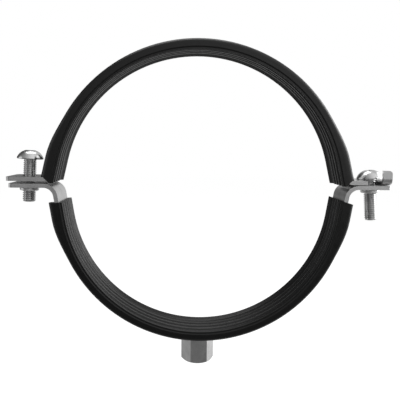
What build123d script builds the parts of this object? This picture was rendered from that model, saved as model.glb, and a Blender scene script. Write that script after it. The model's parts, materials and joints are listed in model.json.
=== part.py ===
from build123d import *
import math
import os

# Two-piece pipe clamp with a rubber lining, in millimetres.
# +X to the locking side, +Y to the back, +Z up; origin on the pipe axis, at mid-width.

# Pipe and rubber liner
PIPE_R = 84.15
PAD = 2.3
GROOVE = 1.5
RIB_PITCH = 5.3
RIB_TOP = 1.8
RIB_FOOT = 3.4
BEAD_TOP = 0.8
BEAD_FOOT = 3.3
SIDE_WALL = 1.8
SIDE_HOLLOW = 0.3
SIDE_RIDGE = 0.5
FLANGE_SLOPE = 1.2
LIP = 1.8
LIP_REACH = 5.0
LIP_ROUND = 1.2
EDGE_ROUND = 0.3
SWELL = 1.8
SWELL_ANGLE = 16.0
SWELL_ROUND = 0.7

# Steel strip
STRIP_W = 25.0
STRIP_T = 2.5
EAR_CORNER = 2.5

# Lower half: lean of its straight ends, bend, parting face, and length and tilt of its rubber ends
LOWER_LEAN = 9.0
LOWER_BEND = 6.0
PARTING_Z = 7.9
LEFT_RUN = 10.3
LEFT_TILT = -5.0
RIGHT_RUN = 11.7
RIGHT_TILT = 9.0
END_SPARE = 4.0

# Upper half, resting open: looser radius, shifted, lifted and slightly tipped
UPPER_SLACK = 2.4
UPPER_X = -2.25
UPPER_Z = 1.48
UPPER_TIP = 0.29
UPPER_LEAN = 13.5
UPPER_BEND = 3.75
UPPER_EAR_Z = 7.37
HEEL_DROP = 0.9
TOE_RISE = 1.4
PIVOT_EXTRA = 1.4

# Screws
SCREW_R = 4.0
SCREW_LEN = 26.5
SCREW_POINT = 0.8
HEAD_R = 7.9
HEAD_H = 6.0
RIM_H = 1.2
CROWN_R = 2.5
CROWN_BULGE = 1.1
RECESS_LEN = 6.0
RECESS_W = 1.7
RECESS_DEPTH = 3.2
PIVOT_INSET = 21.0
PIVOT_LEAN = 3.0
PIVOT_LIFT = 14.4
LOCK_INSET = 20.35
LOCK_LEAN = -4.5
HEAD_GAP = 0.15
EAR_MARGIN = 9.7

# Holes, collars and catch
COLLAR_BORE_R = SCREW_R + 0.05
COLLAR_R = 5.75
COLLAR_DROP = 2.6
COLLAR_ROOT = 1.2
COLLAR_CHAMFER = 0.4
PIVOT_HOLE_R = 4.5
SLOT_W = 9.6
SLOT_SHIFT = -0.6
TAB_RISE = 8.9
TAB_BEND = 1.2
TAB_CORNER = 2.0

# Welded connecting nut
NUT_AF = 18.0
NUT_LEN = 17.85
NUT_BORE_R = 5.1
NUT_TURN = 4.4
NUT_X = -2.0
NUT_CHAMFER = 1.1
BORE_CHAMFER = 1.0
NUT_GAP = 0.3
NUT_SINK = 2.0

STRIP_R = PIPE_R + PAD
LOCK_X = STRIP_R + LOCK_INSET
PIVOT_X = -STRIP_R - PIVOT_INSET
LEFT_REACH = EAR_MARGIN - PIVOT_X
RIGHT_REACH = LOCK_X + EAR_MARGIN
PIVOT_REACH = UPPER_X - PIVOT_X + EAR_MARGIN + PIVOT_EXTRA
CATCH_REACH = LOCK_X - UPPER_X + EAR_MARGIN
UPPER_R = STRIP_R + UPPER_SLACK
THROUGH = 3 * STRIP_W
RING_AXIS = Axis((0, 0, 0), (0, -1, 0))


def lean_axes(lean):
    """Outward direction at the end of the ring's right half, and its straight end's direction."""
    out = Vector(math.cos(math.radians(lean)), math.sin(math.radians(lean)))
    return out, Vector(out.Y, -out.X)


def half_points(radius, lean, bend, ear_z, reach):
    """Corners of one strip face on the right: tangent, bend start, middle, end and tip."""
    out, down = lean_axes(lean)
    run = ((radius + bend) * out.Y - ear_z - bend) / out.X
    tangent = out * radius
    start = tangent + down * run
    centre = start + out * bend
    mid_turn = math.radians(225 + lean / 2)
    middle = centre + Vector(math.cos(mid_turn), math.sin(mid_turn)) * bend
    return [tangent, start, middle, Vector(centre.X, ear_z), Vector(reach, ear_z)]


def face_line(radius, lean, bend, ear_z, left_reach, right_reach):
    """One face of the strip seen from the side, from the left tip to the right tip."""
    right = half_points(radius, lean, bend, ear_z, right_reach)
    left = [Vector(-p.X, p.Y) for p in half_points(radius, lean, bend, ear_z, left_reach)]
    return [
        Line(left[4], left[3]),
        ThreePointArc(left[3], left[2], left[1]),
        Line(left[1], left[0]),
        ThreePointArc(left[0], Vector(0, radius), right[0]),
        Line(right[0], right[1]),
        ThreePointArc(right[1], right[2], right[3]),
        Line(right[3], right[4]),
    ]


def bent_strip(radius, lean, bend, ear_z, left_reach, right_reach):
    """Half ring with an outward ear at each end, arched over its own centre."""
    top_z = ear_z + STRIP_T
    outer = face_line(radius + STRIP_T, lean, bend, top_z, left_reach, right_reach)
    inner = face_line(radius, lean, bend + STRIP_T, ear_z, left_reach, right_reach)
    tips = [
        Line((-left_reach, ear_z), (-left_reach, top_z)),
        Line((right_reach, ear_z), (right_reach, top_z)),
    ]
    side = make_face(outer + inner + tips)
    return extrude(Plane.XZ * side, amount=STRIP_W / 2, both=True)


def round_tips(strip, corners):
    """Round the upright ear corners given as (x, y)."""
    edges = ShapeList()
    for x, y in corners:
        spot = Vector(x, y, strip.bounding_box().min.Z)
        near = strip.edges().filter_by(Axis.Z).sort_by_distance(spot)
        edges.append(near[0])
    return fillet(edges, EAR_CORNER)


def liner_profile(radius):
    """Cross-section of the liner: ribs and beads inside, side walls and lips round the strip."""
    half_w = STRIP_W / 2 + SIDE_WALL
    top = radius - PAD
    floor = top + GROOVE
    lip_r = radius + STRIP_T + LIP
    half = [
        (lip_r, half_w - FLANGE_SLOPE),
        (radius - SIDE_RIDGE, half_w),
        (radius - PAD / 2, half_w - SIDE_HOLLOW),
        (top, half_w),
        (top, half_w - BEAD_TOP),
        (floor, half_w - BEAD_FOOT),
        (floor, RIB_PITCH + RIB_FOOT / 2),
        (top, RIB_PITCH + RIB_TOP / 2),
        (top, RIB_PITCH - RIB_TOP / 2),
        (floor, RIB_PITCH - RIB_FOOT / 2),
        (floor, RIB_FOOT / 2),
        (top, RIB_TOP / 2),
    ]
    other_half = [(r, -y) for r, y in reversed(half)]
    body = make_face(Polyline(*half, *other_half, close=True))
    corners = body.vertices().sort_by(Axis.X)
    body = fillet(corners[-2:], LIP_ROUND)
    sharp = body.vertices().filter_by(lambda v: v.X < radius - SIDE_RIDGE / 2)
    body = fillet(sharp, EDGE_ROUND)
    channel = Pos(radius + STRIP_T / 2, 0) * Rectangle(STRIP_T, STRIP_W)
    mouth_x = radius + STRIP_T + LIP / 2
    mouth = Pos(mouth_x, 0) * Rectangle(LIP * 2, STRIP_W - 2 * LIP_REACH)
    return body - channel - mouth


def lip_swell(radius, lean, run):
    """Thickening of both lips towards the straight end on the right."""
    out, down = lean_axes(lean)
    lip_r = radius + STRIP_T + LIP
    start, full = lean_axes(lean + SWELL_ANGLE)[0], lip_r + SWELL
    most = lean_axes(lean + SWELL_ANGLE * 0.4)[0] * (lip_r + SWELL * 0.7)
    root = lip_r - LIP / 2
    middle = lean_axes(lean + SWELL_ANGLE / 2)[0] * root
    outline = [
        ThreePointArc(start * lip_r, most, out * full),
        Line(out * full, out * full + down * run),
        Line(out * full + down * run, out * root + down * run),
        Line(out * root + down * run, out * root),
        ThreePointArc(out * root, middle, start * root),
        Line(start * root, start * lip_r),
    ]
    inner_y = STRIP_W / 2 - LIP_REACH
    outer_y = STRIP_W / 2 + SIDE_WALL - FLANGE_SLOPE
    block = extrude(Plane.XZ.offset(inner_y) * make_face(outline), amount=outer_y - inner_y)
    front = block.faces().sort_by(Axis.Y)[0]
    edges = front.edges().filter_by(lambda e: (e @ 0.5).length > full - SWELL / 2)
    block = fillet(edges, SWELL_ROUND)
    return block + mirror(block, Plane.XZ)


def liner_end(radius, lean, run):
    """Straight end of the liner on the right, with its swollen lips."""
    down = lean_axes(lean)[1]
    start = liner_profile(radius).rotate(RING_AXIS, lean)
    return extrude(start, amount=run, dir=(down.X, 0, down.Y)) + lip_swell(radius, lean, run)


def bent_liner(radius, lean, left_end, right_end):
    """Rubber channel along a half ring, with its two ends, the left one given mirrored."""
    start = liner_profile(radius).rotate(RING_AXIS, lean)
    ring = revolve(start, RING_AXIS, 180 - 2 * lean)
    return ring + right_end + mirror(left_end, Plane.YZ)


def tilted_end(run, tilt):
    """Lower liner's end cut off across its length; a positive tilt leaves the inside longer."""
    out, down = lean_axes(LOWER_LEAN)
    spot = out * STRIP_R + down * run
    turn = math.radians(tilt)
    normal = down * math.cos(turn) + out * math.sin(turn)
    face = Plane(origin=(spot.X, 0, spot.Y), z_dir=(normal.X, 0, normal.Y))
    waste = face * Pos(0, 0, END_SPARE * 2) * Box(STRIP_W * 2, STRIP_W * 2, END_SPARE * 4)
    return liner_end(STRIP_R, LOWER_LEAN, run + END_SPARE) - waste


def upper_end(strip):
    """Upper liner's end: pad cut level under the ear, side walls drawn out over the bend."""
    out = lean_axes(UPPER_LEAN)[0]
    heel_z = UPPER_EAR_Z - HEEL_DROP
    toe_z = UPPER_EAR_Z + STRIP_T + TOE_RISE
    heel_x = (UPPER_R - heel_z * out.Y) / out.X
    toe_x = (UPPER_R + STRIP_T + LIP + SWELL - toe_z * out.Y) / out.X
    far_x = toe_x + STRIP_W
    below = Polyline(
        (0, heel_z),
        (heel_x, heel_z),
        (toe_x, toe_z),
        (far_x, toe_z),
        (far_x, heel_z - STRIP_W),
        (0, heel_z - STRIP_W),
        close=True,
    )
    waste = extrude(Plane.XZ * make_face(below), amount=STRIP_W, both=True)
    under_z = UPPER_EAR_Z + STRIP_T / 2
    under = Pos(heel_x + STRIP_W / 2, 0, under_z - STRIP_W / 2) * Box(STRIP_W, STRIP_W, STRIP_W)
    run = (UPPER_R * out.Y - heel_z) / out.X + PAD + STRIP_T
    return liner_end(UPPER_R, UPPER_LEAN, run) - waste - under - strip


def place_upper(shape):
    """Lift, shift and tip the upper half to its resting place."""
    return Pos(UPPER_X, 0, UPPER_Z) * (Rot(0, UPPER_TIP, 0) * shape)


def upper_ear_top(x):
    """Height of the upper ear's top face at x."""
    tip = math.radians(UPPER_TIP)
    local = UPPER_EAR_Z + STRIP_T
    return UPPER_Z + local / math.cos(tip) - (x - UPPER_X) * math.tan(tip)


def leaned(shape, x, lean):
    """Stand a shape drawn about +Z on the parting face at x, its top leaning towards +X."""
    return Pos(x, 0, PARTING_Z) * (Rot(0, lean, 0) * shape)


def collar():
    """Threaded collar drawn down out of the lower ear, drawn from the parting face."""
    foot = -STRIP_T - COLLAR_DROP
    outline = Polyline(
        (0, -STRIP_T / 2),
        (COLLAR_R + COLLAR_ROOT, -STRIP_T / 2),
        (COLLAR_R + COLLAR_ROOT, -STRIP_T),
        (COLLAR_R + COLLAR_ROOT * 0.3, -STRIP_T - COLLAR_ROOT * 0.3),
        (COLLAR_R, -STRIP_T - COLLAR_ROOT),
        (COLLAR_R, foot + COLLAR_CHAMFER),
        (COLLAR_R - COLLAR_CHAMFER, foot),
        (0, foot),
        close=True,
    )
    return revolve(Plane.XZ * make_face(outline), Axis.Z, 360)


def build_lower_band():
    """Lower strip with a drawn, threaded collar in each ear."""
    strip = bent_strip(STRIP_R, LOWER_LEAN, LOWER_BEND, -PARTING_Z, LEFT_REACH, RIGHT_REACH)
    half_w = STRIP_W / 2
    tips = [(x, y) for x in (-LEFT_REACH, RIGHT_REACH) for y in (-half_w, half_w)]
    band = mirror(round_tips(strip, tips), Plane.XY)
    for x, lean in ((PIVOT_X, PIVOT_LEAN), (LOCK_X, LOCK_LEAN)):
        band += leaned(collar(), x, lean)
        band -= leaned(Cylinder(COLLAR_BORE_R, THROUGH), x, lean)
    return band


def catch_tab():
    """Tab turned up at the front of the outer prong, drawn across and seen from the side."""
    top = upper_ear_top(LOCK_X)
    bottom = top - STRIP_T
    front = -STRIP_W / 2
    back = front + STRIP_T
    inner = TAB_BEND
    outer = TAB_BEND + STRIP_T
    outline = [
        Line((front + outer, top), (front + outer, bottom)),
        RadiusArc((front + outer, bottom), (front, bottom + outer), outer),
        Line((front, bottom + outer), (front, bottom + TAB_RISE)),
        Line((front, bottom + TAB_RISE), (back, bottom + TAB_RISE)),
        Line((back, bottom + TAB_RISE), (back, top + inner)),
        RadiusArc((back, top + inner), (front + outer, top), -inner),
    ]
    return make_face(outline)


def upper_strip():
    """Upper half ring with square ears, before it is placed."""
    return bent_strip(UPPER_R, UPPER_LEAN, UPPER_BEND, UPPER_EAR_Z, PIVOT_REACH, CATCH_REACH)


def build_upper_band():
    """Upper strip with the pivot hole, the open slot and the turned-up catch."""
    half_w = STRIP_W / 2
    tips = [(-PIVOT_REACH, -half_w), (-PIVOT_REACH, half_w), (CATCH_REACH, half_w)]
    band = place_upper(round_tips(upper_strip(), tips))
    band -= Pos(PIVOT_X, 0, 0) * Cylinder(PIVOT_HOLE_R, THROUGH)
    slot_x = LOCK_X + SLOT_SHIFT
    band -= Pos(slot_x, 0, 0) * Cylinder(SLOT_W / 2, THROUGH)
    band -= Pos(slot_x, -half_w, 0) * Box(SLOT_W, STRIP_W, THROUGH)
    x_in = slot_x + SLOT_W / 2
    x_out = UPPER_X + CATCH_REACH
    foot = Box(STRIP_W, 2 * (TAB_BEND + STRIP_T), THROUGH)
    band -= Pos(x_in + STRIP_W / 2, -half_w, 0) * foot
    tab = extrude(Plane.YZ.offset(x_in) * catch_tab(), amount=x_out - x_in)
    corner = tab.edges().filter_by(Axis.Y).sort_by(lambda e: (e @ 0.5).X + (e @ 0.5).Z)[-1]
    return band + fillet(corner, TAB_CORNER)


def build_screw(lift):
    """Pan-head machine screw along +Z, its head lifted above the parting face."""
    crown = Vector((HEAD_R + CROWN_R) / 2 + CROWN_BULGE / 2, (HEAD_H + RIM_H) / 2 + CROWN_BULGE / 2)
    outline = [
        Line((0, -SCREW_LEN), (SCREW_R - SCREW_POINT, -SCREW_LEN)),
        Line((SCREW_R - SCREW_POINT, -SCREW_LEN), (SCREW_R, SCREW_POINT - SCREW_LEN)),
        Line((SCREW_R, SCREW_POINT - SCREW_LEN), (SCREW_R, 0)),
        Line((SCREW_R, 0), (HEAD_R, 0)),
        Line((HEAD_R, 0), (HEAD_R, RIM_H)),
        ThreePointArc((HEAD_R, RIM_H), crown, (CROWN_R, HEAD_H)),
        Line((CROWN_R, HEAD_H), (0, HEAD_H)),
        Line((0, HEAD_H), (0, -SCREW_LEN)),
    ]
    screw = revolve(Plane.XZ * make_face(outline), Axis.Z, 360)
    cross = Rectangle(RECESS_LEN, RECESS_W) + Rectangle(RECESS_W, RECESS_LEN)
    screw -= extrude(Pos(0, 0, HEAD_H) * cross, amount=-RECESS_DEPTH)
    return Pos(0, 0, lift) * screw


def lock_lift():
    """Height of the locking screw's head along its own axis, its low rim just off the ear."""
    lean = math.radians(abs(LOCK_LEAN))
    rim_z = upper_ear_top(LOCK_X - HEAD_R) + HEAD_GAP
    return (rim_z + HEAD_R * math.sin(lean) - PARTING_Z) / math.cos(lean)


def build_nut():
    """Long hexagon nut saddled to the bottom of the lower strip."""
    saddle_r = STRIP_R + STRIP_T
    bottom = -saddle_r - NUT_LEN
    hexagon = RegularPolygon(NUT_AF / 2, 6, major_radius=False)
    prism = extrude(Pos(0, 0, bottom) * hexagon, amount=NUT_LEN + NUT_SINK)
    corner = NUT_AF / math.sqrt(3)
    envelope = Polyline(
        (0, bottom),
        (corner - NUT_CHAMFER * 1.7, bottom),
        (corner, bottom + NUT_CHAMFER),
        (corner, bottom + NUT_LEN + NUT_SINK),
        (0, bottom + NUT_LEN + NUT_SINK),
        close=True,
    )
    prism &= revolve(Plane.XZ * make_face(envelope), Axis.Z, 360)
    prism = Pos(NUT_X, 0, 0) * (Rot(0, 0, NUT_TURN) * prism)
    ring = Rot(90, 0, 0) * Cylinder(saddle_r, 2 * STRIP_W)
    return prism - ring - Pos(NUT_X, 0, bottom) * nut_bore()


def nut_bore():
    """Threaded hole with a countersink at each end, standing on the nut's foot."""
    wide = NUT_BORE_R + BORE_CHAMFER
    outline = Polyline(
        (0, 0),
        (wide, 0),
        (NUT_BORE_R, BORE_CHAMFER),
        (NUT_BORE_R, NUT_LEN - BORE_CHAMFER),
        (wide, NUT_LEN),
        (wide, NUT_LEN + NUT_SINK),
        (0, NUT_LEN + NUT_SINK),
        close=True,
    )
    return revolve(Plane.XZ * make_face(outline), Axis.Z, 360)


def nut_clearance():
    """Space kept free of rubber round the nut."""
    hexagon = RegularPolygon(NUT_AF / 2 + NUT_GAP, 6, major_radius=False)
    place = Pos(NUT_X, 0, -STRIP_R - STRIP_T - NUT_LEN) * Rot(0, 0, NUT_TURN)
    return extrude(place * hexagon, amount=NUT_LEN + NUT_SINK)


def build_lower_liner():
    """Rubber channel of the lower half, trimmed round the nut."""
    left = tilted_end(LEFT_RUN, LEFT_TILT)
    right = tilted_end(RIGHT_RUN, RIGHT_TILT)
    liner = bent_liner(STRIP_R, LOWER_LEAN, left, right)
    return mirror(liner, Plane.XY) - nut_clearance()


def build_upper_liner():
    """Rubber channel of the upper half, its side walls reaching over both bends."""
    end = upper_end(upper_strip())
    return place_upper(bent_liner(UPPER_R, UPPER_LEAN, end, end))


parts = {
    "lower_band": build_lower_band(),
    "lower_liner": build_lower_liner(),
    "upper_band": build_upper_band(),
    "upper_liner": build_upper_liner(),
    "pivot_screw": leaned(build_screw(PIVOT_LIFT), PIVOT_X, PIVOT_LEAN),
    "locking_screw": leaned(build_screw(lock_lift()), LOCK_X, LOCK_LEAN),
    "connecting_nut": build_nut(),
}
os.makedirs("parts", exist_ok=True)
for name, shape in parts.items():
    export_step(shape, f"parts/{name}.step")
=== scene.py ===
import json
import math

import bmesh
import bpy
from mathutils import Matrix, Vector


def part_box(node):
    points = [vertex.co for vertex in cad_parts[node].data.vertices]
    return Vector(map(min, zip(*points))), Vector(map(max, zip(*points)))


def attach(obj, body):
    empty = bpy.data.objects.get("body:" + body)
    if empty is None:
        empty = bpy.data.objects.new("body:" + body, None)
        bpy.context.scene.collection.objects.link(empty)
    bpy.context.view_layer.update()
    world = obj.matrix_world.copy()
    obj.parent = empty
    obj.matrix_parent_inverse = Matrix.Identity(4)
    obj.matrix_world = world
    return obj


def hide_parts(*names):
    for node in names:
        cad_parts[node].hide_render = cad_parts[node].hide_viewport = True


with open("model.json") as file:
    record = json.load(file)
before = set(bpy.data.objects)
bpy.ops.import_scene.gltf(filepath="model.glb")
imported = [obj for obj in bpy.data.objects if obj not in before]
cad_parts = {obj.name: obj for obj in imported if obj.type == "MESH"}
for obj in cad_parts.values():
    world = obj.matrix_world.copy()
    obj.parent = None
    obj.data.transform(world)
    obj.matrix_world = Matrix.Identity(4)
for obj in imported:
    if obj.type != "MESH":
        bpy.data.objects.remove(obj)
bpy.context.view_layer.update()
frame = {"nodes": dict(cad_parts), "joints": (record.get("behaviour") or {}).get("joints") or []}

nodes = frame["nodes"]
joints = {joint["name"]: joint for joint in frame["joints"]}

MM = 0.001


# ---------- materials ----------

RAMP_STOPS = (0.3, 0.75)

# Noises as (scale in cells per metre, detail, roughness); bump depths in metres.
ZINC_CLOUDS = (120, 5, 0.65)
ZINC_PATCHES = (420, 6, 0.7)
ZINC_GRAIN = (1500, 4, 0.65)
ZINC_BUMP, ZINC_BUMP_DEPTH = 0.2, 0.00006

RUBBER_BLOOM = (70, 6, 0.65)
RUBBER_PATCHES = (220, 5, 0.6)
RUBBER_SKIN = (1800, 2, 0.5)
RUBBER_TONE, RUBBER_GLOSS = (0.003, 0.007), (0.32, 0.44)
RUBBER_SPECULAR = 0.4
RUBBER_BUMP, RUBBER_BUMP_DEPTH = 0.03, 0.00003


def new_material(name):
    """Empty node material with its shader and output joined."""
    mat = bpy.data.materials.new(name)
    mat.use_nodes = True
    tree = mat.node_tree
    tree.nodes.clear()
    shader = tree.nodes.new("ShaderNodeBsdfPrincipled")
    output = tree.nodes.new("ShaderNodeOutputMaterial")
    tree.links.new(shader.outputs["BSDF"], output.inputs["Surface"])
    return mat, tree, shader


def noise(tree, scale, detail, rough):
    """Noise in object space; returns its factor socket."""
    coord = tree.nodes.new("ShaderNodeTexCoord")
    tex = tree.nodes.new("ShaderNodeTexNoise")
    tex.inputs["Scale"].default_value = scale
    tex.inputs["Detail"].default_value = detail
    tex.inputs["Roughness"].default_value = rough
    tree.links.new(coord.outputs["Object"], tex.inputs["Vector"])
    return tex.outputs["Fac"]


def ramp(tree, factor, levels):
    """Grey ramp between two levels."""
    node = tree.nodes.new("ShaderNodeValToRGB")
    for element, stop, level in zip(node.color_ramp.elements, RAMP_STOPS, levels):
        element.position = stop
        element.color = (level, level, level, 1)
    tree.links.new(factor, node.inputs["Fac"])
    return node.outputs["Color"]


def bump(tree, shader, factor, strength, distance):
    """Relief of a surface from a factor."""
    node = tree.nodes.new("ShaderNodeBump")
    node.inputs["Strength"].default_value = strength
    node.inputs["Distance"].default_value = distance
    tree.links.new(factor, node.inputs["Height"])
    tree.links.new(node.outputs["Normal"], shader.inputs["Normal"])


def zinc(name, tone, gloss):
    """Zinc-plated steel: cloudy tone, fine grain and an uneven gloss."""
    mat, tree, shader = new_material(name)
    clouds = noise(tree, *ZINC_CLOUDS)
    tree.links.new(ramp(tree, clouds, tone), shader.inputs["Base Color"])
    patches = noise(tree, *ZINC_PATCHES)
    tree.links.new(ramp(tree, patches, gloss), shader.inputs["Roughness"])
    shader.inputs["Metallic"].default_value = 1.0
    bump(tree, shader, noise(tree, *ZINC_GRAIN), ZINC_BUMP, ZINC_BUMP_DEPTH)
    return mat


def rubber(name):
    """Black moulded rubber: a faint dusty bloom and a fine skin texture."""
    mat, tree, shader = new_material(name)
    bloom = noise(tree, *RUBBER_BLOOM)
    tree.links.new(ramp(tree, bloom, RUBBER_TONE), shader.inputs["Base Color"])
    patches = noise(tree, *RUBBER_PATCHES)
    tree.links.new(ramp(tree, patches, RUBBER_GLOSS), shader.inputs["Roughness"])
    shader.inputs["Specular IOR Level"].default_value = RUBBER_SPECULAR
    bump(tree, shader, noise(tree, *RUBBER_SKIN), RUBBER_BUMP, RUBBER_BUMP_DEPTH)
    return mat


band_steel = zinc("band_zinc", (0.56, 0.70), (0.26, 0.40))
screw_steel = zinc("screw_zinc", (0.55, 0.72), (0.16, 0.28))
nut_steel = zinc("nut_zinc", (0.50, 0.66), (0.26, 0.38))
liner_rubber = rubber("liner_rubber")

DRESS = {
    "lower_band": band_steel,
    "upper_band": band_steel,
    "connecting_nut": nut_steel,
    "lower_liner": liner_rubber,
    "upper_liner": liner_rubber,
    "pivot_screw": screw_steel,
    "locking_screw": screw_steel,
}
for node_name, material in DRESS.items():
    node = nodes[node_name]
    node.data.materials.clear()
    node.data.materials.append(material)


# ---------- shared mesh code ----------

def new_mesh(name, mesh):
    """Mesh data from a finished bmesh, with its faces turned outward."""
    bmesh.ops.recalc_face_normals(mesh, faces=mesh.faces)
    data = bpy.data.meshes.new(name)
    mesh.to_mesh(data)
    mesh.free()
    return data


def ring_mesh(name, rings):
    """Closed mesh skinned over rings of points, with one flat face at each end."""
    mesh = bmesh.new()
    loops = [[mesh.verts.new(point) for point in ring] for ring in rings]
    count = len(loops[0])
    for low, high in zip(loops, loops[1:]):
        for i in range(count):
            j = (i + 1) % count
            mesh.faces.new((low[i], low[j], high[j], high[i]))
    mesh.faces.new(list(reversed(loops[0])))
    mesh.faces.new(loops[-1])
    return new_mesh(name, mesh)


def dress(piece, material, crease, body, node_name):
    """Finish a piece, shade it smooth up to a crease angle and let it stand for its solid."""
    piece.data.materials.append(material)
    piece.data.shade_smooth()
    piece.data.set_sharp_from_angle(angle=math.radians(crease))
    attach(piece, body)
    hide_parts(node_name)


# ---------- threaded screws ----------

# Sizes in millimetres; the screws are M8 with a coarse thread.
SCREW_R = 4.0
SCREW_LEN = 26.5
SCREW_CREASE = 35
PITCH = 1.25
THREAD_DEPTH = 0.72
THREAD_FLANK, THREAD_CREST = 0.4, 0.1
THREAD_END = 0.3
TIP_CHAMFER = 0.8
TIP_SLICE = 0.05
HEAD_R = 7.9
HEAD_H = 5.35
NECK_IN, NECK_SINK, NECK_OUT = 0.2, 0.25, 0.3
RIM_H = 1.1
RIM_ROUND = 0.25
CROWN_R = 2.9
CROWN_BULGE = 0.7
CROWN_RISE = 0.06
CROWN_STEPS = 12
CIRCLE_STEPS = 48
ROWS_PER_PITCH = 10
RECESS_DEPTH = 3.2

# The recess as (reach, half width, height) from its foot to clear above the head.
RECESS_LEVELS = (
    (1.3, 0.55, HEAD_H - RECESS_DEPTH),
    (3.1, 0.95, HEAD_H + 0.02),
    (3.565, 1.045, HEAD_H + 1.0),
)
RECESS_TAPER = 0.8


def thread_radius(height, angle):
    """Radius of a right-hand thread at a height and an angle."""
    phase = (height / PITCH - angle / math.tau) % 1.0
    falling = THREAD_FLANK + THREAD_CREST
    if phase < THREAD_FLANK:
        rise = phase / THREAD_FLANK
    elif phase < falling:
        rise = 1.0
    elif phase < falling + THREAD_FLANK:
        rise = 1.0 - (phase - falling) / THREAD_FLANK
    else:
        rise = 0.0
    return SCREW_R - THREAD_DEPTH * (1.0 - rise)


def shank_radius(height, angle):
    """Radius of the shank: threaded, pointed at the tip and run out under the head."""
    tip = SCREW_R - TIP_CHAMFER + (height + SCREW_LEN)
    fade = min(1.0, max(0.0, (-THREAD_END - height) / PITCH))
    return min(tip, thread_radius(height, angle) * fade + (SCREW_R - THREAD_END) * (1 - fade))


def head_rows():
    """Head outline from the shank to the crown, as (radius, height)."""
    rows = [(SCREW_R - NECK_IN, -NECK_SINK), (SCREW_R + NECK_OUT, 0.0), (HEAD_R - RIM_ROUND, 0.0)]
    rows += [(HEAD_R - RIM_ROUND * 0.3, RIM_ROUND * 0.3), (HEAD_R, RIM_ROUND)]
    rows += [(HEAD_R, RIM_H - RIM_ROUND), (HEAD_R - RIM_ROUND * 0.4, RIM_H)]
    start = Vector((HEAD_R - RIM_ROUND * 0.6, RIM_H + 0.1))
    end = Vector((CROWN_R, HEAD_H))
    across = (end - start).normalized()
    outward = Vector((across.y, -across.x))
    for step in range(1, CROWN_STEPS):
        share = step / CROWN_STEPS
        point = start.lerp(end, share) + outward * CROWN_BULGE * math.sin(math.pi * share)
        rows.append((point.x, point.y))
    rows += [(CROWN_R, HEAD_H), (CROWN_R * 0.5, HEAD_H + CROWN_RISE)]
    return rows


def circle(radius_at, height):
    """Ring of points in metres at one height, with its radius as a function of the angle."""
    points = []
    for i in range(CIRCLE_STEPS):
        angle = math.tau * i / CIRCLE_STEPS
        r = radius_at(angle)
        points.append((r * math.cos(angle) * MM, r * math.sin(angle) * MM, height * MM))
    return points


def screw_mesh(name):
    """Shank and head in one skin, head upward, with the seat of the head at height 0."""
    rows = int(SCREW_LEN / PITCH * ROWS_PER_PITCH)
    rings = []
    for row in range(rows + 1):
        height = -SCREW_LEN + (SCREW_LEN - THREAD_END) * row / rows
        rings.append(circle(lambda angle: shank_radius(height, angle), height))
    for radius, height in head_rows():
        rings.append(circle(lambda angle: radius, height))
    return ring_mesh(name, rings)


def recess_mesh(name):
    """Tapered cross that cuts the driver recess."""
    rings = []
    for reach, half, height in RECESS_LEVELS:
        ring = []
        for quarter in range(4):
            turn = Matrix.Rotation(quarter * math.pi / 2, 3, "Z")
            for x, y in ((half, -half), (reach, -half * RECESS_TAPER), (reach, half * RECESS_TAPER)):
                ring.append(turn @ Vector((x, y, height)) * MM)
        rings.append(ring)
    return ring_mesh(name, rings)


def cut_away(piece, cutter):
    """Apply a boolean cut to a piece and delete its cutter."""
    cut = piece.modifiers.new("recess", "BOOLEAN")
    cut.operation = "DIFFERENCE"
    cut.solver = "EXACT"
    cut.object = cutter
    bpy.context.view_layer.update()
    graph = bpy.context.evaluated_depsgraph_get()
    final = bpy.data.meshes.new_from_object(piece.evaluated_get(graph))
    piece.modifiers.clear()
    piece.data = final
    bpy.data.objects.remove(cutter)


def seat_of(node_name, axis):
    """Point under the head on a leaning screw's axis, found from the solid's own far end."""
    low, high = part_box(node_name)
    verts = nodes[node_name].data.vertices
    heights = [Vector(v.co).dot(axis) for v in verts]
    foot = min(heights)
    tip = [v.co for v, h in zip(verts, heights) if h < foot + TIP_SLICE * MM]
    centre = sum((Vector(p) for p in tip), Vector()) / len(tip)
    centre.y = (low[1] + high[1]) / 2
    return centre + axis * SCREW_LEN * MM


def threaded_screw(name, node_name, joint_name, body):
    """Pan-head screw with a cut thread and a cross recess, standing where its solid stands."""
    screw = bpy.data.objects.new(name, screw_mesh(name))
    cutter = bpy.data.objects.new(name + "_cutter", recess_mesh(name + "_cutter"))
    for item in (screw, cutter):
        bpy.context.collection.objects.link(item)
    cut_away(screw, cutter)
    axis = Vector(joints[joint_name]["axis"]).normalized()
    turn = Vector((0, 0, 1)).rotation_difference(axis).to_matrix().to_4x4()
    screw.data.transform(Matrix.Translation(seat_of(node_name, axis)) @ turn)
    dress(screw, screw_steel, SCREW_CREASE, body, node_name)


threaded_screw("pivot_screw_threaded", "pivot_screw", "pivot_screw_travel", "pivot_screw")
threaded_screw("locking_screw_threaded", "locking_screw", "locking_screw_travel", "locking_screw")


# ---------- rubber liners ----------

# Sizes in millimetres and degrees. Depth is counted outward from the strip's inner face.
PIPE_R = 84.15
PAD = 2.3
STRIP_W = 25.0
STRIP_T = 2.5
SKIN = 0.03
LIP_TOP = 4.45
LIP_EDGE_Y = 7.6
LIP_BACK_FALL = 0.5
LIP_BACK_ROUND = (0.1, 0.4)
LIP_WAVE_ZONE = 1
CORNER_START = (1.6, 14.1)
CORNER_SIZE = (LIP_TOP - CORNER_START[0], 3.6)
CORNER_STEPS = 7
RIB_PITCH = 5.3
RIB_TOP, RIB_FLOOR = -1.75, -0.8
SWELL, SWELL_ANGLE = 1.8, 17.0
EDGE_WAVES = ((0.12, 0.31), (0.08, 0.83))
ARC_STEP = 2.5
RUN_STEPS = 5
LINER_CREASE = 42

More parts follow.
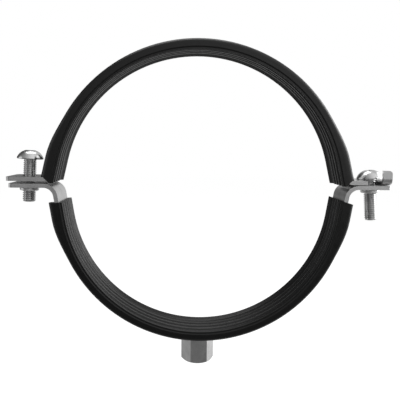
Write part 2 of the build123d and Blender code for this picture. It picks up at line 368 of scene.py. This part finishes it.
SIDE_WALL = [(0.2, 14.15), (-0.35, 14.27), (-0.65, 14.27), (-0.9, 14.1), (-1.3, 13.95)]
SIDE_BEAD = [(-1.8, 14.05), (-2.15, 14.2), (-2.36, 14.1), (-2.42, 13.85), (-2.4, 13.55)]
PAD_SLOPE = [(-2.1, 13.1), (-1.2, 11.8), (-0.9, 11.3), (RIB_FLOOR, 10.6)]
HALF_RIB = [
    (RIB_FLOOR, 1.9),
    (RIB_FLOOR - 0.15, 1.6),
    (RIB_TOP + 0.2, 1.05),
    (RIB_TOP, 0.7),
    (RIB_TOP, 0.0),
]

EAR_Z, HEEL_DROP, TOE_RISE, UPPER_BEND = 7.37, 0.9, 1.4, 3.75
UPPER_SLACK = 2.4
UPPER_SHIFT, UPPER_TIP = (-2.25, 0, 1.48), 0.29
STRIP_EDGE_MARGIN = 0.2
WELD_DISTANCE = 1e-7


def smooth(share):
    """Soft step from 0 to 1."""
    share = max(0.0, min(1.0, share))
    return share * share * (3 - 2 * share)


def lip_corner():
    """Large rounded outer corner of the lip, from its back to the front face."""
    points = []
    for step in range(CORNER_STEPS + 1):
        turn = math.pi / 2 * (1 - step / CORNER_STEPS)
        depth = CORNER_START[0] + CORNER_SIZE[0] * math.sin(turn)
        away = CORNER_START[1] - CORNER_SIZE[1] * (1 - math.cos(turn))
        points.append((depth, away))
    return points


def half_outline():
    """Visible outline of one half, from the lip's free edge to the middle rib.

    Each point is (depth, distance from mid-width).
    """
    points = [(STRIP_T + SKIN, LIP_EDGE_Y)]
    points.append((LIP_TOP - LIP_BACK_FALL, LIP_EDGE_Y))
    points.append((LIP_TOP - LIP_BACK_ROUND[0], LIP_EDGE_Y + LIP_BACK_ROUND[1]))
    points += lip_corner() + SIDE_WALL + SIDE_BEAD + PAD_SLOPE
    points += [(depth, RIB_PITCH + away) for depth, away in HALF_RIB]
    points += [(depth, RIB_PITCH - away) for depth, away in reversed(HALF_RIB[:-1])]
    return points + HALF_RIB


def liner_outline():
    """Whole visible outline and, point by point, the channel face behind it."""
    half = half_outline()
    outer = half + [(depth, -y) for depth, y in reversed(half[:-1])]
    limit = STRIP_W / 2 + SKIN
    inner = []
    for depth, y in outer:
        back = min(max(depth, -SKIN), STRIP_T + SKIN)
        inner.append((back, max(-limit, min(limit, y))))
    return outer, inner


def lip_point(depth, y, amount, wave):
    """Outline point with the lip pushed out near the ends and its free edge a little wavy."""
    if depth <= STRIP_T + SKIN:
        return depth, y
    if abs(y) < LIP_EDGE_Y + LIP_WAVE_ZONE:
        y += math.copysign(wave, y)
    share = smooth((depth - CORNER_START[0]) / CORNER_SIZE[0])
    return depth + SWELL * amount * share, y


def lower_length(half, end, depth, y):
    """Length of the straight run of one point of the lower liner, cut off at a tilt."""
    return half[end]["run"] - depth * math.tan(math.radians(half[end]["tilt"]))


def upper_length(half, end, depth, y):
    """The same on the upper liner: level heel under the ear, side walls drawn out to a toe."""
    sin, cos = math.sin(math.radians(half["lean"])), math.cos(math.radians(half["lean"]))
    radius = half["radius"]
    rho = radius + depth
    heel_z = EAR_Z - HEEL_DROP
    toe_z = EAR_Z + STRIP_T + TOE_RISE
    if depth <= 0:
        return (rho * sin - heel_z) / cos
    if abs(y) < STRIP_W / 2 - STRIP_EDGE_MARGIN and depth >= STRIP_T:
        bend_start = ((radius + STRIP_T + UPPER_BEND) * sin - EAR_Z - STRIP_T - UPPER_BEND) / cos
        gap = max(0.0, UPPER_BEND - (depth - STRIP_T))
        return bend_start + math.sqrt(max(0.0, UPPER_BEND**2 - gap**2))
    heel_x = (radius - heel_z * sin) / cos
    toe_x = (radius + LIP_TOP + SWELL - toe_z * sin) / cos
    slope = (toe_z - heel_z) / (toe_x - heel_x)
    return (rho * sin - heel_z - slope * (rho * cos - heel_x)) / (cos + slope * sin)


def station(half, end, depth, y, along):
    """Point on the liner; along is an angle in degrees on the ring or a share of the end run."""
    rho = half["radius"] + depth
    if end is None:
        turn = math.radians(along)
        return Vector((rho * math.cos(turn), y, rho * math.sin(turn)))
    lean = math.radians(half["lean"])
    length = half["length"](half, end, depth, y) * along
    x = rho * math.cos(lean) + length * math.sin(lean)
    z = rho * math.sin(lean) - length * math.cos(lean)
    return Vector((x if end == "right" else -x, y, z))


def liner_stations(half):
    """Ends and angles from the right end to the left, with the lip's swelling and wave at each."""
    lean = half["lean"]
    rows = [("right", 1 - step / RUN_STEPS, 1.0, 0) for step in range(RUN_STEPS)]
    count = round((180 - 2 * lean) / ARC_STEP)
    for step in range(count + 1):
        angle = lean + (180 - 2 * lean) * step / count
        near = min(angle, 180 - angle) - lean
        wave = sum(height * math.sin(angle * rate) for height, rate in EDGE_WAVES)
        rows.append((None, angle, smooth(1 - near / SWELL_ANGLE), wave))
    rows += [("left", (step + 1) / RUN_STEPS, 1.0, 0) for step in range(RUN_STEPS)]
    return rows


def liner_rows(half, mesh, outer, inner):
    """Vertices of every station: the visible outline, then the channel face."""
    rows = []
    for end, along, amount, wave in liner_stations(half):
        shape = [lip_point(depth, y, amount, wave) for depth, y in outer] + inner
        places = [half["place"] @ station(half, end, depth, y, along) for depth, y in shape]
        rows.append([mesh.verts.new(place * MM) for place in places])
    return rows


def build_liner(name, half, node_name, body):
    """Liner swept along its half ring, closed at both ends."""
    outer, inner = liner_outline()
    mesh = bmesh.new()
    rows = liner_rows(half, mesh, outer, inner)
    size = len(outer)
    for first, second in zip(rows, rows[1:]):
        for start in (0, size):
            for i in range(start, start + size - 1):
                mesh.faces.new((first[i], first[i + 1], second[i + 1], second[i]))
        for i in (0, size - 1):
            mesh.faces.new((first[i], first[i + size], second[i + size], second[i]))
    for row in (rows[0], rows[-1]):
        for i in range(size - 1):
            mesh.faces.new((row[i], row[i + 1], row[i + size + 1], row[i + size]))
    bmesh.ops.remove_doubles(mesh, verts=mesh.verts, dist=WELD_DISTANCE)
    bmesh.ops.dissolve_degenerate(mesh, dist=WELD_DISTANCE, edges=mesh.edges)
    liner = bpy.data.objects.new(name, new_mesh(name, mesh))
    bpy.context.collection.objects.link(liner)
    dress(liner, liner_rubber, LINER_CREASE, body, node_name)


LOWER = {
    "radius": PIPE_R + PAD,
    "lean": 9.0,
    "left": {"run": 10.3, "tilt": -5.0},
    "right": {"run": 11.7, "tilt": 9.0},
    "length": lower_length,
    "place": Matrix.Diagonal((1, 1, -1, 1)),
}
UPPER = {
    "radius": PIPE_R + PAD + UPPER_SLACK,
    "lean": 13.5,
    "length": upper_length,
    "place": Matrix.Translation(UPPER_SHIFT) @ Matrix.Rotation(math.radians(UPPER_TIP), 4, "Y"),
}
build_liner("lower_liner_ribbed", LOWER, "lower_liner", "lower_half")
build_liner("upper_liner_ribbed", UPPER, "upper_liner", "upper_half")


# ---------- stage, light and camera ----------

# Metres and watts.
WORLD_LIGHT = 0.22
MIRRORED_TONE = 0.8
MIRRORED_FRONT = (-0.8, 0.6, 0.38, 1.3)
MIRRORED_BEHIND = (-0.4, 0.2, 0.12, 0.8)
FRONT_TO_BEHIND = (-0.3, 0.5, 0, 1)

FLOOR_Z = -0.2
FLOOR_SIZE = 6.0
FLOOR_TONE = 0.35
FLOOR_GLOW = 0.92
FLOOR_MIRRORED_DEPTH = (-0.15, 0.2, 0.0, FLOOR_GLOW)
FLOOR_MIRRORED_SIDE = (-0.15, 0.15, 0.35, 0.7)

# Name: place, width, height, power.
LAMPS = {
    "right_box": ((0.8, 0.25, 0.2), 0.7, 0.7, 5.0),
    "top_box": ((-0.1, 0.25, 0.8), 0.7, 0.4, 2.0),
    "left_fill": ((-0.8, -0.1, 0.1), 0.5, 0.8, 0.9),
}

FOCAL_PX, FRAME_PX = 524.33, 400
SENSOR_MM = 36
CAMERA_PLACE = (-0.01231, -0.32927, 0.03493)
PITCH_DOWN, YAW, ROLL = 0.114, 0.034, 0.010


def seen_by_eye(tree):
    """1 for camera, glossy and transmission rays."""
    path = tree.nodes.new("ShaderNodeLightPath")
    total = path.outputs["Is Camera Ray"]
    for kind in ("Is Glossy Ray", "Is Transmission Ray"):
        both = tree.nodes.new("ShaderNodeMath")
        both.operation = "MAXIMUM"
        tree.links.new(total, both.inputs[0])
        tree.links.new(path.outputs[kind], both.inputs[1])
        total = both.outputs[0]
    return total


def faded(tree, socket, change):
    """Smooth change along a coordinate, given as (start, end, level at start, level at end)."""
    node = tree.nodes.new("ShaderNodeMapRange")
    node.interpolation_type = "SMOOTHSTEP"
    for key, value in zip(("From Min", "From Max", "To Min", "To Max"), change):
        node.inputs[key].default_value = value
    tree.links.new(socket, node.inputs["Value"])
    return node.outputs[0]


def times(tree, first, second):
    """Product of two sockets."""
    node = tree.nodes.new("ShaderNodeMath")
    node.operation = "MULTIPLY"
    tree.links.new(first, node.inputs[0])
    tree.links.new(second, node.inputs[1])
    return node.outputs[0]


def split_place(tree, output):
    """X, Y and Z of a texture coordinate."""
    coord = tree.nodes.new("ShaderNodeTexCoord")
    split = tree.nodes.new("ShaderNodeSeparateXYZ")
    tree.links.new(coord.outputs[output], split.inputs[0])
    return split.outputs


def mirrored_level(tree):
    """Level of the surroundings in reflections, by direction: dimmer in front and on the left."""
    toward = split_place(tree, "Generated")
    level = tree.nodes.new("ShaderNodeMix")
    tree.links.new(faded(tree, toward["Y"], FRONT_TO_BEHIND), level.inputs[0])
    tree.links.new(faded(tree, toward["X"], MIRRORED_FRONT), level.inputs[2])
    tree.links.new(faded(tree, toward["X"], MIRRORED_BEHIND), level.inputs[3])
    return level.outputs[0]


def background(tree, tone=1.0, strength=1.0):
    """Background shader of one grey tone."""
    node = tree.nodes.new("ShaderNodeBackground")
    node.inputs["Color"].default_value = (tone, tone, tone, 1)
    node.inputs["Strength"].default_value = strength
    return node


def mixed(tree, factor, first, second):
    """Mix of two shaders."""
    node = tree.nodes.new("ShaderNodeMixShader")
    tree.links.new(factor, node.inputs["Fac"])
    tree.links.new(first, node.inputs[1])
    tree.links.new(second, node.inputs[2])
    return node.outputs[0]


def studio_world():
    """Soft surroundings, white to the camera and uneven in reflections."""
    world = bpy.data.worlds.new("studio")
    bpy.context.scene.world = world
    world.use_nodes = True
    tree = world.node_tree
    tree.nodes.clear()
    soft = background(tree, strength=WORLD_LIGHT)
    white = background(tree)
    mirrored = background(tree, tone=MIRRORED_TONE)
    tree.links.new(mirrored_level(tree), mirrored.inputs["Strength"])
    path = tree.nodes.new("ShaderNodeLightPath")
    eye = mixed(tree, path.outputs["Is Glossy Ray"], white.outputs[0], mirrored.outputs[0])
    out = tree.nodes.new("ShaderNodeOutputWorld")
    tree.links.new(mixed(tree, seen_by_eye(tree), soft.outputs[0], eye), out.inputs["Surface"])


def floor_level(tree):
    """Glow of the floor: even to the camera, dimmer in front and on the left in reflections."""
    place = split_place(tree, "Object")
    depth = faded(tree, place["Y"], FLOOR_MIRRORED_DEPTH)
    level = tree.nodes.new("ShaderNodeMix")
    level.inputs[2].default_value = FLOOR_GLOW
    path = tree.nodes.new("ShaderNodeLightPath")
    tree.links.new(path.outputs["Is Glossy Ray"], level.inputs[0])
    tree.links.new(times(tree, depth, faded(tree, place["X"], FLOOR_MIRRORED_SIDE)), level.inputs[3])
    return times(tree, level.outputs[0], seen_by_eye(tree))


def floor_material():
    """Pale floor that glows for the camera and keeps the lamps' shadows."""
    mat, tree, shader = new_material("floor_white")
    shader.inputs["Base Color"].default_value = (FLOOR_TONE, FLOOR_TONE, FLOOR_TONE, 1)
    shader.inputs["Roughness"].default_value = 0.9
    shader.inputs["Specular IOR Level"].default_value = 0.0
    glow = tree.nodes.new("ShaderNodeEmission")
    tree.links.new(floor_level(tree), glow.inputs["Strength"])
    total = tree.nodes.new("ShaderNodeAddShader")
    tree.links.new(shader.outputs["BSDF"], total.inputs[0])
    tree.links.new(glow.outputs[0], total.inputs[1])
    output = next(n for n in tree.nodes if n.type == "OUTPUT_MATERIAL")
    tree.links.new(total.outputs[0], output.inputs["Surface"])
    return mat


def pale_floor():
    """Wide white floor well below the hanging clamp."""
    mesh = bmesh.new()
    half = FLOOR_SIZE / 2
    corners = [(-half, -half), (half, -half), (half, half), (-half, half)]
    mesh.faces.new([mesh.verts.new((x, y, FLOOR_Z)) for x, y in corners])
    data = bpy.data.meshes.new("floor")
    mesh.to_mesh(data)
    mesh.free()
    data.materials.append(floor_material())
    floor = bpy.data.objects.new("floor", data)
    bpy.context.collection.objects.link(floor)


def area_light(name, place, width, height, watts):
    """Soft box aimed at the pipe's axis."""
    data = bpy.data.lights.new(name, "AREA")
    data.shape = "RECTANGLE"
    data.size = width
    data.size_y = height
    data.energy = watts
    lamp = bpy.data.objects.new(name, data)
    bpy.context.collection.objects.link(lamp)
    lamp.location = place
    lamp.rotation_mode = "QUATERNION"
    lamp.rotation_quaternion = (-Vector(place)).to_track_quat("-Z", "Y")


def place_camera():
    """Camera just above the pipe's axis, looking slightly down."""
    data = bpy.data.cameras.new("camera")
    data.sensor_width = SENSOR_MM
    data.lens = SENSOR_MM * FOCAL_PX / FRAME_PX
    data.clip_start = 0.01
    camera = bpy.data.objects.new("camera", data)
    bpy.context.collection.objects.link(camera)
    camera.location = CAMERA_PLACE
    level = math.cos(PITCH_DOWN)
    look = Vector((math.sin(YAW) * level, math.cos(YAW) * level, -math.sin(PITCH_DOWN)))
    camera.rotation_mode = "QUATERNION"
    camera.rotation_quaternion = look.to_track_quat("-Z", "Y")
    camera.rotation_quaternion @= Matrix.Rotation(ROLL, 3, "Z").to_quaternion()
    bpy.context.scene.camera = camera


studio_world()
pale_floor()
for lamp_name, lamp_values in LAMPS.items():
    area_light(lamp_name, *lamp_values)
place_camera()
bpy.context.scene.view_settings.view_transform = "Standard"
